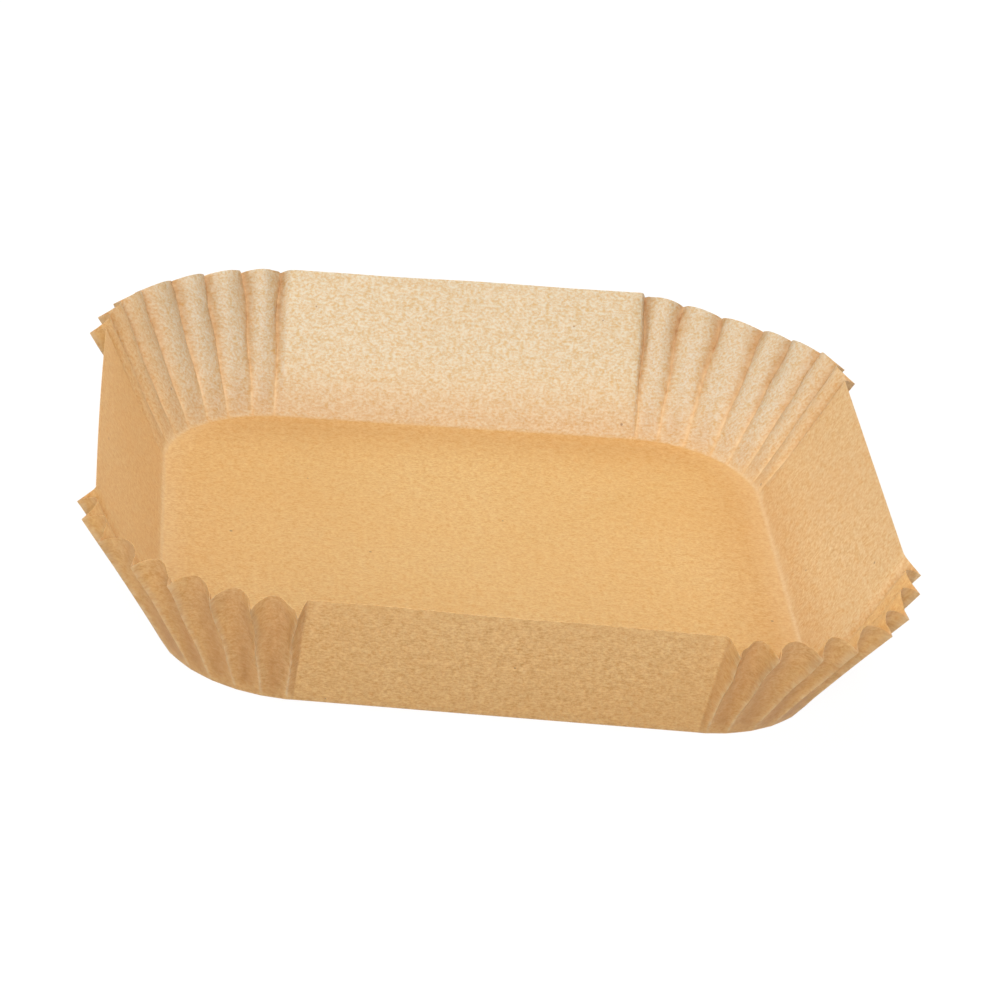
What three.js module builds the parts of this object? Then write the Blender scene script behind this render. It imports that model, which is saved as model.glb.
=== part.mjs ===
// A square air fryer liner, pressed from one sheet of greaseproof kraft paper.
// Millimetres, +Z up. The flat floor rests on z = 0 with its middle at the origin.
import * as THREE from "three";

const { degToRad } = THREE.MathUtils;

// The tray.
const floorSide = 200; // from fold line to fold line
const depth = 45; // from the table to the rim of a flat side
const flare = degToRad(26); // lean of a flat side from upright
const cornerRadius = 40; // of the fold line round a corner
const foldRadius = 2; // of the bend between the floor and the sides
const paper = 0.3; // sheet thickness, several times that of the real paper

// The pleats that take up the spare width of the sheet in each corner.
const creases = 8; // sharp folds, which point outwards
const endShare = 1 / 3; // of a pleat's width, from a flat side's end to the first crease

// How finely the curved paper is drawn.
const lobeSteps = 10;
const endSteps = 3;
const bendSteps = 2;
const wallSteps = 3;

const cornerCentre = floorSide / 2 - cornerRadius;
const bend = Math.PI / 2 - flare;
const bendReach = foldRadius * Math.tan(bend / 2); // from the fold line to where the bend ends
const slant = depth / Math.cos(flare);
const pitch = Math.PI / 2 / (creases - 1 + 2 * endShare); // turn from crease to crease
const endTurn = endShare * pitch;

// How far a crease stands out of the flat sides' plane at the rim. Paper can't stretch, so the
// width that one pleat loses as the side is raised becomes the two slopes of the pleat.
const flatWidth = (cornerRadius + slant) * pitch;
const raisedWidth = (cornerRadius + slant * Math.sin(flare)) * pitch;
const rimPleat = Math.sqrt(flatWidth ** 2 - raisedWidth ** 2) / 2;

// The creases are straight, so a pleat deepens evenly from nothing at the fold line to the rim.
function pleatDepth(up) {
  return (rimPleat * up) / slant;
}

// Section through the sheet, from the floor's edge to the rim. Each row holds its distance from the
// corner's centre, its height, the outward direction of the paper there, and the pleats' depth.
const rows = [];
for (let i = 0; i < bendSteps; i++) {
  const turn = (bend * i) / bendSteps;
  rows.push({
    reach: cornerRadius - bendReach + foldRadius * Math.sin(turn),
    height: foldRadius * (1 - Math.cos(turn)),
    out: Math.sin(turn),
    up: -Math.cos(turn),
    pleat: pleatDepth((bendReach * i) / bendSteps),
  });
}
for (let i = 0; i <= wallSteps; i++) {
  const up = bendReach + ((slant - bendReach) * i) / wallSteps;
  rows.push({
    reach: cornerRadius + up * Math.sin(flare),
    height: up * Math.cos(flare),
    out: Math.cos(flare),
    up: -Math.sin(flare),
    pleat: pleatDepth(up),
  });
}

// One corner, as turns from the end of a flat side. swing is 1 on a crease and 0 in the flat
// sides' plane, which the rounded lobes between the creases just reach.
const corner = [];
for (let i = 0; i < endSteps; i++) {
  const part = i / endSteps;
  corner.push({ turn: endTurn * part, swing: 1 - Math.cos((Math.PI / 2) * part) });
}
for (let i = 0; i < (creases - 1) * lobeSteps; i++) {
  const part = (i % lobeSteps) / lobeSteps;
  corner.push({ turn: endTurn + (pitch * i) / lobeSteps, swing: 1 - Math.sin(Math.PI * part) });
}
for (let i = endSteps; i >= 0; i--) {
  const part = i / endSteps;
  corner.push({
    turn: Math.PI / 2 - endTurn * part,
    swing: 1 - Math.cos((Math.PI / 2) * part),
  });
}

// The four corners follow each other anticlockwise, and the flat sides lie between them.
const columns = [];
for (let quarter = 0; quarter < 4; quarter++) {
  const start = (quarter * Math.PI) / 2;
  const middle = start + Math.PI / 4;
  for (const { turn, swing } of corner) {
    columns.push({
      x: cornerCentre * Math.sign(Math.cos(middle)),
      y: cornerCentre * Math.sign(Math.sin(middle)),
      turn: start + turn,
      swing,
    });
  }
}

const around = columns.length;
const top = rows.length - 1;

function outerPoint(column, row) {
  const { x, y, turn, swing } = columns[(column + around) % around];
  const { reach, height, out, up, pleat } = rows[row];
  const radius = reach + out * pleat * swing;
  return new THREE.Vector3(
    x + radius * Math.cos(turn),
    y + radius * Math.sin(turn),
    height + up * pleat * swing,
  );
}

function innerPoint(column, row) {
  const here = outerPoint(column, row);
  const outward = new THREE.Vector3(0, 0, -1);
  if (row > 0) {
    const along = outerPoint(column + 1, row).sub(outerPoint(column - 1, row));
    const upward = outerPoint(column, Math.min(row + 1, top)).sub(outerPoint(column, row - 1));
    outward.crossVectors(along, upward).normalize();
  }
  return here.addScaledVector(outward, -paper);
}

// Outer face first, then the inner face, then the two middles of the floor.
const points = [];
for (const pointAt of [outerPoint, innerPoint]) {
  for (let row = 0; row <= top; row++) {
    for (let column = 0; column < around; column++) {
      points.push(pointAt(column, row));
    }
  }
}
const inside = points.length / 2;
const underMiddle = points.push(new THREE.Vector3(0, 0, 0)) - 1;
const floorMiddle = points.push(new THREE.Vector3(0, 0, paper)) - 1;

const faces = [];
function quad(a, b, c, d) {
  faces.push(a, b, c, a, c, d);
}
for (let column = 0; column < around; column++) {
  const next = (column + 1) % around;
  for (let row = 0; row < top; row++) {
    const low = row * around;
    const high = low + around;
    quad(low + column, low + next, high + next, high + column);
    quad(
      inside + low + next,
      inside + low + column,
      inside + high + column,
      inside + high + next,
    );
  }
  const rim = top * around;
  quad(rim + column, rim + next, inside + rim + next, inside + rim + column);
  faces.push(underMiddle, next, column);
  faces.push(floorMiddle, inside + column, inside + next);
}

const sheet = new THREE.BufferGeometry().setFromPoints(points);
sheet.setIndex(faces);
sheet.computeVertexNormals();

const kraft = new THREE.MeshStandardMaterial({ color: 0xe6bb86, roughness: 0.85, metalness: 0 });
const liner = new THREE.Mesh(sheet, kraft);
liner.name = "paper_liner";

const part = new THREE.Group();
part.add(liner);

export default part;
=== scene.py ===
# %% [markdown]
# # A square air fryer liner of greaseproof kraft paper
# The real liner is cut as a flat square of thin brown paper with rounded corners. A hot mould
# then presses it into a tray: the middle stays flat, the four sides stand up and lean out, and
# the spare paper in each corner is gathered into sharp pleats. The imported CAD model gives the
# tray's place and size, and this script makes the paper that is seen.

import math

import bmesh
import bpy
import numpy as np
from mathutils import Matrix, Vector


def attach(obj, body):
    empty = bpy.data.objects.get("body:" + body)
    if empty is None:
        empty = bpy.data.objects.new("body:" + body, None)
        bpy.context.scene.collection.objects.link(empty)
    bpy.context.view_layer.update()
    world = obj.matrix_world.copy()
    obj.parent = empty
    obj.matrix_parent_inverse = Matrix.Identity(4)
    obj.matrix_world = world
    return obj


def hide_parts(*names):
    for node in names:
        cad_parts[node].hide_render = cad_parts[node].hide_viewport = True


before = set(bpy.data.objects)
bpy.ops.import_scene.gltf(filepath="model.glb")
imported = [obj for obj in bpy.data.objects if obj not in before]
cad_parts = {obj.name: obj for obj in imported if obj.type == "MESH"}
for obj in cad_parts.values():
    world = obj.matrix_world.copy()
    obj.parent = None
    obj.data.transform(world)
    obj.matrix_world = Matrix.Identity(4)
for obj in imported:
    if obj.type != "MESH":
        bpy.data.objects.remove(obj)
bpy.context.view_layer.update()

# %% [markdown]
# ## The camera
# The photo was taken with a long lens from a little above the rim, and the tray is turned a few
# degrees clockwise in the picture. The numbers were fitted to the photo for a tray with a square
# floor. The camera could be aimed with a Track To constraint, but a constraint keeps the horizon
# level. Here its three axes are worked out and put in its matrix, so that the roll is a plain
# number.

# %% Camera
azimuth = math.radians(7.14)  # the view runs along +Y and turns this much towards +X
elevation = math.radians(25.82)
roll = math.radians(7.43)
target = Vector((0.0110, 0.0456, 0.0011))  # 46 mm behind the tray's middle
distance = 1.240  # 1240 mm from the target

forward = Vector((
    math.sin(azimuth) * math.cos(elevation),
    math.cos(azimuth) * math.cos(elevation),
    -math.sin(elevation),
))
level_right = Vector((math.cos(azimuth), -math.sin(azimuth), 0))
level_up = level_right.cross(forward)
right = math.cos(roll) * level_right + math.sin(roll) * level_up
up = -math.sin(roll) * level_right + math.cos(roll) * level_up

camera = bpy.data.objects.new("camera", bpy.data.cameras.new("camera"))
camera.data.lens = 135.5  # mm, on a sensor 36 mm wide
camera.data.sensor_width = 36
axes = Matrix((right, up, -forward)).transposed().to_4x4()
camera.matrix_world = Matrix.Translation(target - distance * forward) @ axes
bpy.context.scene.collection.objects.link(camera)
bpy.context.scene.camera = camera
bpy.context.scene.view_settings.view_transform = "Standard"
print("camera stands at", [round(x, 3) for x in camera.location])

# %% [markdown]
# ## Helpers for colours and nodes
# Colours are written as on the screen, in sRGB hex, and Blender's nodes want linear light, so one
# function turns them. Another adds a node, sets it and links it. The short ones after it stand
# for the nodes that a material needs again and again, and each returns the node's result.

# %% Colour and node helpers
def linear(colour):
    """An sRGB hex colour as linear red, green, blue and alpha."""
    shares = [int(colour[i:i + 2], 16) / 255 for i in (1, 3, 5)]
    return [s / 12.92 if s <= 0.04045 else ((s + 0.055) / 1.055) ** 2.4 for s in shares] + [1]


def add(tree, kind, inputs=None, **settings):
    """Adds a node. An input is a value, or the output socket that it is linked to."""
    node = tree.nodes.new(kind)
    for name, value in settings.items():
        setattr(node, name, value)
    for name, value in (inputs or {}).items():
        if isinstance(value, bpy.types.NodeSocket):
            tree.links.new(value, node.inputs[name])
        else:
            node.inputs[name].default_value = value
    return node


def calculate(tree, operation, first, second):
    """One step of arithmetic on two numbers or sockets."""
    return add(tree, "ShaderNodeMath", {0: first, 1: second}, operation=operation).outputs[0]


def remap(tree, value, old, new):
    """A value with the range old, as (low, high), stretched to the range new."""
    ends = {1: old[0], 2: old[1], 3: new[0], 4: new[1]}
    return add(tree, "ShaderNodeMapRange", {0: value, **ends}).outputs[0]


def ramp(tree, value, low, high):
    """A colour that runs between two stops, each a (position, hex colour) pair."""
    node = add(tree, "ShaderNodeValToRGB", {0: value})
    for element, (position, colour) in zip(node.color_ramp.elements, (low, high)):
        element.position = position
        element.color = linear(colour)
    return node.outputs[0]


def blend(tree, share, first, second):
    """A share of the second value in the first. Inputs 2 and 3 are the values of a Mix node."""
    return add(tree, "ShaderNodeMix", {0: share, 2: first, 3: second}).outputs[0]


def tint(tree, share, first, second):
    """A share of the second colour in the first. Inputs 6 and 7 are a Mix node's colours."""
    inputs = {0: share, 6: first, 7: second}
    return add(tree, "ShaderNodeMix", inputs, data_type="RGBA").outputs[2]


def new_tree(name):
    """A material with an empty node tree, as (material, tree)."""
    material = bpy.data.materials.new(name)
    material.use_nodes = True
    material.node_tree.nodes.clear()
    return material, material.node_tree


print("white in linear light:", linear("#ffffff"))

# %% [markdown]
# ## The table and the light
# The photo's background is pure white. A white table could be lit until it clips, but then the
# paper would be too bright as well. Instead the table and the world show plain white to the
# camera and to reflections, and light the paper at an ordinary level. A share of the table stays
# an ordinary white surface, so that the soft shadow under the tray is kept.

# %% White world and table
fill_strength = 0.16  # of the world, on what it lights
glow_strength = 1.1  # of the table, as it is seen
glow_share = 0.85  # the rest of the table shows the shadow
table_top = -0.0002  # 0.2 mm under the paper


def seen_directly(tree):
    """1 for what is seen, also in a reflection or through the paper, and 0 for fill light."""
    ray = add(tree, "ShaderNodeLightPath")
    seen = ray.outputs["Is Camera Ray"]
    for kind in ("Is Glossy Ray", "Is Transmission Ray"):
        seen = calculate(tree, "MAXIMUM", seen, ray.outputs[kind])
    return seen


world = bpy.data.worlds.new("studio")
bpy.context.scene.world = world
world.use_nodes = True
tree = world.node_tree
tree.nodes.clear()
seen = seen_directly(tree)
fill = add(tree, "ShaderNodeBackground", {"Color": linear("#ffffff"),
                                          "Strength": fill_strength})
white = add(tree, "ShaderNodeBackground", {"Color": linear("#ffffff"), "Strength": 1.0})
mixed = add(tree, "ShaderNodeMixShader", {0: seen, 1: fill.outputs[0], 2: white.outputs[0]})
add(tree, "ShaderNodeOutputWorld", {"Surface": mixed.outputs[0]})

table_white, tree = new_tree("white_table")
seen = seen_directly(tree)
surface = add(tree, "ShaderNodeBsdfDiffuse", {"Color": linear("#7a7a7a")})
shaded = add(tree, "ShaderNodeBsdfDiffuse", {"Color": linear("#f8f8f8")})
glow = add(tree, "ShaderNodeEmission", {"Color": linear("#ffffff"), "Strength": glow_strength})
shown = add(tree, "ShaderNodeMixShader", {0: glow_share, 1: shaded.outputs[0],
                                          2: glow.outputs[0]})
mixed = add(tree, "ShaderNodeMixShader", {0: seen, 1: surface.outputs[0], 2: shown.outputs[0]})
add(tree, "ShaderNodeOutputMaterial", {"Surface": mixed.outputs[0]})

bpy.ops.object.select_all(action="DESELECT")
bpy.ops.mesh.primitive_plane_add(size=8, location=(0, 0, table_top))
table = bpy.context.object
table.name = "table"
bpy.ops.object.transform_apply(location=True)
table.data.materials.append(table_white)
print("table is", table.dimensions[0], "m wide")

# %% [markdown]
# The photo's light is wide and soft. One large softbox hangs over the tray and carries most of
# it. A second one stands beside the camera for the sides that face it, and a third on the left
# gives the pleats their shaded flanks. The last one stands low behind the tray and shines
# through the paper of the far side.

# %% Softboxes
tray_middle = Vector((0, 0, 0.02))  # 20 mm up, about half the tray's height


def softbox(name, place, width, power):
    """A square lamp, in metres and watts, aimed at the tray and not seen by the camera."""
    lamp = bpy.data.objects.new(name, bpy.data.lights.new(name, "AREA"))
    lamp.data.size = width
    lamp.data.energy = power
    lamp.location = place
    aim = tray_middle - lamp.location
    lamp.rotation_euler = aim.to_track_quat("-Z", "Y").to_euler()
    lamp.visible_camera = False
    bpy.context.scene.collection.objects.link(lamp)
    print(name, "stands", round(aim.length, 2), "m away")


softbox("softbox_over", (-0.1, 0.3, 1.65), 1.0, 12)
softbox("softbox_front", (-0.2, -1.5, 0.8), 0.7, 17)
softbox("softbox_left", (-1.5, -0.3, 0.6), 0.5, 5.5)
softbox("softbox_behind", (0.3, 1.5, 0.10), 0.5, 8)

# %% [markdown]
# ## The sheet: the flat floor
# The mould leaves the middle of the sheet flat. The floor starts as a plane, its four corners
# are rounded by a vertex bevel, and the straight edges between them are divided so that they
# can follow the paper's small waves later. A few insets give the floor rings of its own.

# %% Sizes of the tray
floor_side = 0.200  # 200 mm from fold line to fold line
corner_radius = 0.040  # 40 mm, of the fold line round a corner
fold_radius = 0.002  # 2 mm, of the bend between the floor and a side
depth = 0.045  # 45 mm from the table to the rim of a flat side
flare = math.radians(26)  # lean of a side from upright
thickness = 0.00012  # 0.12 mm, about twice that of the real paper

creases = 8  # in each corner
steps = 12  # columns of the mesh from crease to crease
end_steps = 4  # columns from the end of a flat side to the first crease
side_cuts = 29  # in each straight edge
floor_rings = 4
ring_width = 0.008  # 8 mm

corner_steps = (creases - 1) * steps + 2 * end_steps
bend = math.pi / 2 - flare
bend_reach = fold_radius * math.tan(bend / 2)  # from the fold line to where the bend starts
bend_length = fold_radius * bend
floor_radius = corner_radius - bend_reach  # of the flat floor's corners
slant = depth / math.cos(flare)
collar = bend_length + slant - bend_reach  # of paper, from the floor's edge to the rim
print("paper from floor to rim:", round(1000 * collar, 2), "mm")

# %% Floor
bpy.ops.object.select_all(action="DESELECT")
bpy.ops.mesh.primitive_plane_add(size=floor_side - 2 * bend_reach)
liner = bpy.context.object
liner.name = "paper_tray"


def pick(kind, wanted):
    """Deselects all, then selects the verts, edges or faces that wanted accepts."""
    bpy.ops.mesh.select_all(action="DESELECT")
    bpy.context.tool_settings.mesh_select_mode = [kind == k for k in ("verts", "edges", "faces")]
    mesh = bmesh.from_edit_mesh(liner.data)
    found = [element for element in getattr(mesh, kind) if wanted(element)]
    for element in found:
        element.select_set(True)
    mesh.select_flush_mode()
    bmesh.update_edit_mesh(liner.data)
    return len(found)


bpy.ops.object.mode_set(mode="EDIT")
pick("verts", lambda v: True)
bpy.ops.mesh.bevel(offset=floor_radius, segments=corner_steps, affect="VERTICES")
long_edges = pick("edges", lambda e: e.calc_length() > corner_radius)
bpy.ops.mesh.subdivide(number_cuts=side_cuts)
pick("faces", lambda f: True)
for ring in range(floor_rings):
    bpy.ops.mesh.inset(thickness=ring_width)
print("long edges:", long_edges, "faces:", len(bmesh.from_edit_mesh(liner.data).faces))

# %% [markdown]
# ## The sheet: the sides
# Each side of the real tray is the same sheet, bent up at the fold line. The border could be
# extruded straight to its leaning place, but then the bend and the pleats would have to be
# worked out row by row. It is extruded straight up instead, as a collar as high as the paper is
# long. After that, a point's height in the collar says how far it is up the paper.

# %% Collar
bend_rows = 4
wall_rows = 20
pick("edges", lambda e: e.is_boundary)
for rows, length in ((bend_rows, bend_length), (wall_rows, collar - bend_length)):
    for row in range(rows):
        lift = (0, 0, length / rows)
        bpy.ops.mesh.extrude_edges_move(TRANSFORM_OT_translate={"value": lift})
pick("faces", lambda f: True)
bpy.ops.mesh.normals_make_consistent(inside=False)
middle = max(bmesh.from_edit_mesh(liner.data).faces, key=lambda f: len(f.verts))
if middle.normal.z > 0:
    bpy.ops.mesh.flip_normals()
bpy.ops.mesh.faces_shade_smooth()
bpy.ops.object.mode_set(mode="OBJECT")
print("collar of", bend_rows + wall_rows, "rows,", len(liner.data.vertices), "points")

# %% [markdown]
# ## The mould
# A mould turns the collar outwards and folds the paper that is left over in the corners. Paper
# can't stretch, so the width that a pleat loses as the side leans out goes into its two slopes,
# and that gives its depth. The creases are sharp and nearly straight, and between them the paper
# stays in a round lobe. No two corners gather quite alike, so the creases stand where the photo
# shows them.

# %% Flat places of all points
crease_turns = {  # degrees from the end of the side that faces along Y, by corner
    (-1, 1): (3.8, 14.5, 27.0, 38.5, 51.8, 63.8, 74.4, 86.3),
    (1, 1): (2.2, 13.1, 26.5, 41.5, 52.4, 64.4, 74.6, 83.9),
    (-1, -1): (3.1, 13.9, 24.9, 36.8, 48.5, 64.4, 76.6, 87.1),
    (1, -1): (3.8, 12.7, 24.9, 35.6, 48.7, 60.2, 73.7, 84.4),
}
corner_centre = floor_side / 2 - corner_radius
crease_columns = [end_steps + steps * i for i in range(creases)]

points = np.array([v.co for v in liner.data.vertices])
along = points[:, 2].copy()  # how far a point is up the paper
core = np.clip(points[:, :2], -corner_centre, corner_centre)
from_core = points[:, :2] - core
radius = np.linalg.norm(from_core, axis=1)
on_side = radius > floor_radius - 1e-5  # with 0.01 mm to spare for rounding
turn = np.degrees(np.arctan2(np.abs(from_core[:, 0]), np.abs(from_core[:, 1])))
column = turn / 90 * corner_steps
print("points of the sides:", int(on_side.sum()), "of", len(points))

# %% Swing and turn of each column
lobe_roundness = 0.65  # under 1, the lobes are fuller and the creases narrower than a sine's
waver_turn = 0.5  # degrees that a crease strays from straight at the rim
waver_length = 0.0045  # 4.5 mm up the paper for each radian of the waver
waver_shift = 2.4  # radians from one crease to the next

swing = np.zeros(len(points))  # 1 on a crease, 0 in the sides' plane
turned = turn.copy()
for (side_x, side_y), turns in crease_turns.items():
    here = on_side & (points[:, 0] * side_x > corner_centre - 1e-6)
    here &= points[:, 1] * side_y > corner_centre - 1e-6
    knots = [0, *crease_columns, corner_steps]
    turned[here] = np.interp(column[here], knots, [0, *turns, 90])
    lobe = (column[here] - end_steps) % steps / steps
    to_end = np.minimum(column[here], corner_steps - column[here])
    swing[here] = np.where(
        to_end < end_steps,
        1 - np.cos(math.pi / 2 * to_end / end_steps),
        1 - np.sin(math.pi * lobe) ** lobe_roundness,
    )
    phase = along[here] / waver_length + waver_shift * np.round(column[here] / steps)
    waver = waver_turn * np.sin(phase)
    turned[here] += waver * np.clip(to_end / end_steps, 0, 1) * along[here] / collar
print("points on creases:", int((swing > 0.999).sum()))

# %% Press
opened = 0.95  # a pleat springs back a little after pressing
pleat_curve = 1.15  # over 1, a pleat deepens later than a straight crease would


def section(travel):
    """The side's section at distances up the paper: reach past the floor, height, lean."""
    angle = np.clip(travel / fold_radius, 0, bend)
    past = np.clip(travel - bend_length, 0, None)
    reach = fold_radius * np.sin(angle) + past * math.sin(flare)
    height = fold_radius * (1 - np.cos(angle)) + past * math.cos(flare)
    return reach, height, angle


pitch = math.pi / 2 * steps / corner_steps
flat_width = (corner_radius + slant) * pitch
raised_width = (corner_radius + slant * math.sin(flare)) * pitch
rim_pleat = math.sqrt(flat_width ** 2 - raised_width ** 2) / 2
print("pleats stand", round(1000 * rim_pleat, 2), "mm out at the rim")

reach, height, angle = section(along)
pleat = opened * rim_pleat * np.clip(along / collar, 0, 1) ** pleat_curve * swing
out = np.sign(from_core) * np.stack([np.sin(np.radians(turned)), np.cos(np.radians(turned))], 1)
pressed = points.copy()
reached = floor_radius + reach + pleat * np.sin(angle)
pressed[on_side, :2] = (core + out * reached[:, None])[on_side]
pressed[on_side, 2] = (height - pleat * np.cos(angle))[on_side]

# %% [markdown]
# ## Slack
# Paper this thin doesn't hold its shape exactly. In the photo one far corner leans in and a near
# one leans out, the long rims ripple a little, and two opposite corners stand higher than the
# others. A lattice could do this by hand, but each shift is smooth and grows up the paper, so it
# is added to the points as a few sines.

# %% Slack
corner_lean = {(-1, 1): 0.0, (1, 1): -0.0045, (-1, -1): 0.0, (1, -1): 0.0022}  # m, at the rim
lean_turns = 2.6  # the lean is most 35 degrees round a corner and gone at 69
crease_sag = 0.0010  # 1 mm: a crease runs further out, so it ends lower
bow_depth = 0.0004  # 0.4 mm, of the left rim's middle
ripple_depth = 0.0004  # 0.4 mm, of the near and far rims
ripple_length = 0.011  # 11 mm along the rim for each radian of the ripple
twist = 0.14  # metres of lift per square metre, so that two opposite corners stand higher


def mid_side(axis):
    """1 at the rim in the middle of a side that runs along an axis, and 0 at its ends."""
    share = np.clip(points[:, axis] / corner_centre, -1, 1)
    return np.cos(share * math.pi / 2) * up_paper


up_paper = np.clip(along / collar, 0, 1) * on_side  # 0 at the floor, 1 at the rim
lean_profile = np.clip(np.sin(lean_turns * np.radians(turned)), 0, 1)
for (side_x, side_y), lean in corner_lean.items():
    here = (points[:, 0] * side_x > corner_centre) & (points[:, 1] * side_y > corner_centre)
    share = np.where(here, lean_profile, 0) * up_paper
    pressed[:, :2] += lean * math.cos(flare) * share[:, None] * out
    pressed[:, 2] -= abs(lean) * math.sin(flare) * share
sag = crease_sag * swing * up_paper ** 2
pressed[:, :2] -= math.sin(flare) * sag[:, None] * out
pressed[:, 2] -= math.cos(flare) * sag
pressed[:, 0] -= np.where(points[:, 0] < -corner_centre, bow_depth * mid_side(1), 0)
ripple = mid_side(0) * np.sin(points[:, 0] / ripple_length + np.sign(points[:, 1]))
pressed[:, 1] += np.where(np.abs(points[:, 1]) > corner_centre, ripple_depth * ripple, 0)

lift = twist * pressed[:, 0] * pressed[:, 1]
pressed[:, 2] += lift - lift[~on_side].min()

liner.data.vertices.foreach_set("co", pressed.ravel())
liner.data.update()
print("lowest and highest in mm:", np.round(1000 * pressed[:, 2].min(), 2),
      np.round(1000 * pressed[:, 2].max(), 2))

# %% [markdown]
# ## Where the paper is worn, a painted highlight on its fold line, and its flat cut
# Folding breaks the paper's surface, so creases and the fold line carry a thin pale line. One
# attribute marks the creases and another the fold line, on the two sides where the photo shows
# it pale. There the fold's pale line is also a painted highlight, where the round bend catches
# the light. The grain of the paper was there before it was pressed, so its pattern follows a UV
# map that is the flat cut itself, a square with round corners.

# %% Worn creases, fold line worn and with a painted highlight, and flat cut
def mark(name, values):
    """Keeps one number for each point of the liner, for the material to read."""
    attribute = liner.data.attributes.new(name, "FLOAT", "POINT")
    attribute.data.foreach_set("value", values)


# A crease is worn over the last quarter of its swing.
worn = np.where(on_side & (along > bend_length), np.clip(swing * 4 - 3, 0, 1), 0.0)
mark("worn", worn)

# The fold line is pale in the middle of the bend, on the sides that face along X: worn paper, and
# a painted highlight where the bend catches the light.
fold_wear_and_highlight = np.where(on_side, np.clip(1 - np.abs(along - bend_length / 2) / bend_length, 0, 1), 0.0)
fold_wear_and_highlight *= np.clip(np.abs(out[:, 0]) * 2 - 1, 0, 1)
mark("fold_wear_and_highlight", fold_wear_and_highlight)

blank_side = 2 * (corner_centre + floor_radius + collar)
flat = points[:, :2] + np.where(on_side, along, 0)[:, None] * out
layer = liner.data.uv_layers.active or liner.data.uv_layers.new()
layer.name = "flat_cut"
corners = np.array([loop.vertex_index for loop in liner.data.loops])
layer.data.foreach_set("uv", (flat[corners] / blank_side + 0.5).ravel())
print("flat cut:", round(1000 * blank_side, 1), "mm square")

# %% Thickness
bpy.ops.object.select_all(action="DESELECT")
liner.select_set(True)
bpy.context.view_layer.objects.active = liner
solid = liner.modifiers.new("paper", "SOLIDIFY")
solid.thickness = thickness
solid.offset = -1
bpy.ops.object.modifier_apply(modifier="paper")
print("paper is", 1000 * thickness, "mm thick,", len(liner.data.polygons), "faces")

# %% [markdown]
# ## Painted shade in the hollows, and painted light on the far side
# Two more attributes tell the inner face from the outer one, so they come after the thickness.
# Light that falls into a groove or a fold bounces from paper to paper and comes out browner, and
# the photo shows more of that than the render's own bounces give. So one attribute paints that
# extra shade into the grooves of both faces and the folds inside. The other paints light on the
# far side, where the photo's paper is pale and mottled.

# %% Painted shade in the hollows
fold_shade = 0.018  # 18 mm, how far up a side the painted shade of its fold reaches
groove_start = 0.15  # of the way up, where an outer groove has its full painted shade

is_inner = np.arange(len(liner.data.vertices)) >= len(points)  # the outer face comes first
rise = np.tile(up_paper, 2)
ridge = np.tile(swing, 2)

# Painted shade darkens the grooves. From inside, the grooves are the creases. From outside, they
# are the lobes between them.
inner_groove_shade = 0.75 * ridge ** 1.5 * rise ** 0.5
outer_groove_shade = (1 - ridge) ** 1.3 * np.clip(rise / groove_start, 0, 1) * (1 - 0.5 * rise)
painted_hollow_shade = np.where(is_inner, inner_groove_shade, outer_groove_shade)
flat_side = np.isin(np.round(column, 3), (0, corner_steps))
painted_hollow_shade[np.tile(flat_side, 2)] = 0

# A fold's painted shade fades up the side and in over the floor. It is most at the far and right
# sides.
up_the_side = 0.6 * np.clip(1 - along / fold_shade, 0, 1)
over_the_floor = np.clip(radius / floor_radius, 0, 1) ** 2
by_side = np.clip(np.maximum(out[:, 1], 0.9 * out[:, 0]), 0.3, 1)
painted_fold_shade = 0.6 * np.where(on_side, up_the_side, over_the_floor) * by_side
painted_hollow_shade = np.maximum(painted_hollow_shade, np.where(is_inner, np.tile(painted_fold_shade, 2), 0))
print("points in a hollow:", int((painted_hollow_shade > 0.5).sum()))

# %% Painted light on the far side
painted_light_start = 0.0015  # 1.5 mm up the paper, so that the fold itself keeps its colour

# Painted light: the sides that face the back, and a little the right side, are painted pale, the
# inner face more than the outer.
towards_back = 1.3 * out[:, 1] + 0.35 * np.clip(out[:, 0], 0, 1)
far_side_painted_light = np.where(on_side, np.clip(towards_back, 0, 1), 0.0)
far_side_painted_light *= np.clip(along / painted_light_start, 0, 1) * (0.7 + 0.3 * np.clip(along / (0.5 * collar), 0, 1))
far_side_painted_light *= 1 - 0.6 * swing ** 2  # the creases get less of the painted light
far_side_painted_light = np.tile(far_side_painted_light, 2) * np.where(is_inner, 1, 0.4)
mark("far_side_painted_light", far_side_painted_light)
mark("painted_hollow_shade", painted_hollow_shade)
bpy.ops.object.shade_smooth_by_angle(angle=math.radians(40))
print("points on pale paper:", int((far_side_painted_light > 0.5).sum()))

# %% [markdown]
# ## Greaseproof kraft paper
# The liner is unbleached wood pulp, beaten fine and calendered until grease can't soak in. That
# gives a warm light brown, fine fibres along the machine's direction, soft pale clouds in the
# pulp, a few dark specks of bark, and a dull shine. It is so thin that light comes through, so a
# Translucent shader is mixed in.

# %% Kraft paper
kraft, tree = new_tree("greaseproof_kraft_paper")
cut = add(tree, "ShaderNodeUVMap", uv_map="flat_cut").outputs[0]
blank_mm = 1000 * blank_side
sheet_mm = add(tree, "ShaderNodeMapping", {"Vector": cut,
                                           "Scale": (blank_mm, blank_mm, 1)}).outputs[0]
grain_mm = add(tree, "ShaderNodeMapping", {"Vector": cut,
                                           "Scale": (0.7 * blank_mm, blank_mm, 1)}).outputs[0]


def noise(place, width, detail, roughness):
    """Soft noise with patches of a width in mm."""
    return add(tree, "ShaderNodeTexNoise", {"Vector": place, "Scale": 1 / width,
                                            "Detail": detail, "Roughness": roughness}).outputs[0]


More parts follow.
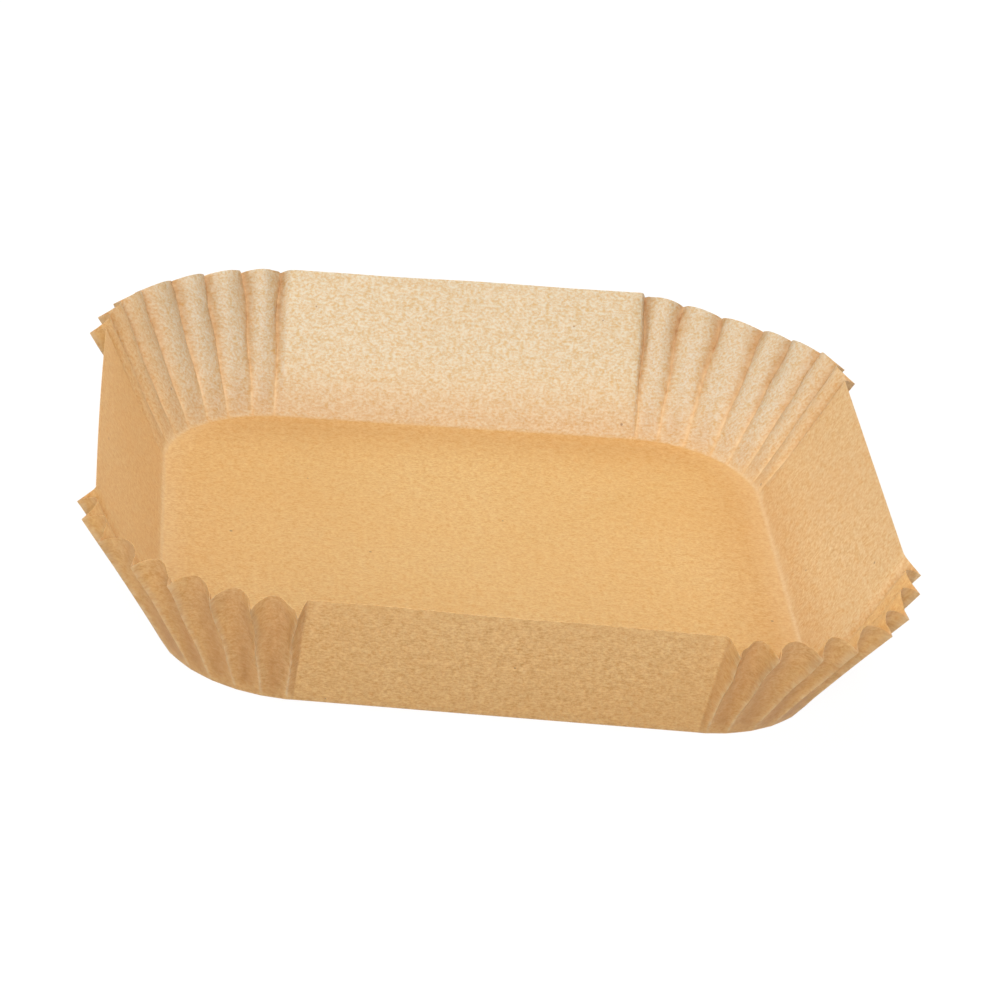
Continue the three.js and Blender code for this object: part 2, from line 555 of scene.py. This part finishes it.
fibres = noise(grain_mm, 0.8, 4.0, 0.75)  # 0.8 mm across the grain and 1.1 mm along it
clouds = noise(sheet_mm, 2.6, 4.0, 0.6)  # the pulp lies in clouds about 2.6 mm wide
drift = noise(sheet_mm, 60, 2.0, 0.5)  # shades 60 mm wide come from the rollers

tone = ramp(tree, fibres, (0.42, "#d69e4e"), (0.58, "#ffe2a2"))
cloudy = ramp(tree, clouds, (0.38, "#e8b461"), (0.62, "#f6d086"))
paper = tint(tree, 0.5, tone, cloudy)
rolled = remap(tree, drift, (0.3, 0.7), (0.0, 0.35))
paper = tint(tree, rolled, paper, linear("#eab152"))

# Painted light: the paper of the far side is painted paler and mottled.
far_side_painted_light_part = add(tree, "ShaderNodeAttribute", attribute_name="far_side_painted_light")
mottle = blend(tree, 0.75, clouds, fibres)
painted_light_colour = ramp(tree, mottle, (0.42, "#d5b676"), (0.58, "#e0e6e0"))
paper = tint(tree, far_side_painted_light_part.outputs["Fac"], paper, painted_light_colour)

# Painted shade: the grooves and folds are painted browner, where light bounces from paper to
# paper.
painted_hollow_shade_part = add(tree, "ShaderNodeAttribute", attribute_name="painted_hollow_shade")
paper = tint(tree, painted_hollow_shade_part.outputs["Fac"], paper, linear("#ba7810"))

# Half of the 9 mm wide cells hold a speck of bark, at most 1.1 mm wide.
cells = add(tree, "ShaderNodeTexVoronoi", {"Vector": sheet_mm, "Scale": 1 / 9})
chosen = add(tree, "ShaderNodeSeparateColor", {0: cells.outputs["Color"]})
speck_radius = remap(tree, chosen.outputs[0], (0.5, 1.0), (0.0, 0.06))  # of a cell's width
speck = calculate(tree, "LESS_THAN", cells.outputs["Distance"], speck_radius)
speck = calculate(tree, "MULTIPLY", speck, 0.85)
paper = tint(tree, speck, paper, linear("#8a5524"))

# Worn paper is pale, and the fold line also carries a painted highlight. The clouds break up the
# pale line along the creases.
worn_line = add(tree, "ShaderNodeAttribute", attribute_name="worn")
fold_wear_and_highlight_part = add(tree, "ShaderNodeAttribute", attribute_name="fold_wear_and_highlight")
patchy = remap(tree, clouds, (0.35, 0.65), (0.2, 0.9))
worn_share = calculate(tree, "MULTIPLY", worn_line.outputs["Fac"], patchy)
fold_wear_and_highlight_share = calculate(tree, "MULTIPLY", fold_wear_and_highlight_part.outputs["Fac"], 0.35)
wear_and_highlight_share = calculate(tree, "MAXIMUM", worn_share, fold_wear_and_highlight_share)
paper = tint(tree, wear_and_highlight_share, paper, linear("#f3ddb8"))

# The calendered face is duller in the pale clouds and smoother between.
shine = remap(tree, clouds, (0.3, 0.7), (0.48, 0.6))
relief = blend(tree, 0.4, fibres, clouds)
bump = add(tree, "ShaderNodeBump", {"Strength": 0.3, "Distance": 0.0001, "Height": relief})
front = add(tree, "ShaderNodeBsdfPrincipled", {"Base Color": paper, "Roughness": shine,
                                               "IOR": 1.5, "Normal": bump.outputs[0]})

# A quarter to two fifths of the light comes through, and most in the pale clouds.
through = add(tree, "ShaderNodeBsdfTranslucent", {"Color": linear("#fff4e0"),
                                                  "Normal": bump.outputs[0]})
formation = blend(tree, 0.45, clouds, fibres)
sheer = remap(tree, formation, (0.38, 0.62), (0.26, 0.42))
mixed = add(tree, "ShaderNodeMixShader", {0: sheer, 1: front.outputs[0], 2: through.outputs[0]})
add(tree, "ShaderNodeOutputMaterial", {"Surface": mixed.outputs[0]})
liner.data.materials.clear()
liner.data.materials.append(kraft)
print("kraft paper has", len(tree.nodes), "nodes")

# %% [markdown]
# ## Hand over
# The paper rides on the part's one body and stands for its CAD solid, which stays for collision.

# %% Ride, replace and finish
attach(liner, "root")
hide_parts("paper_liner")
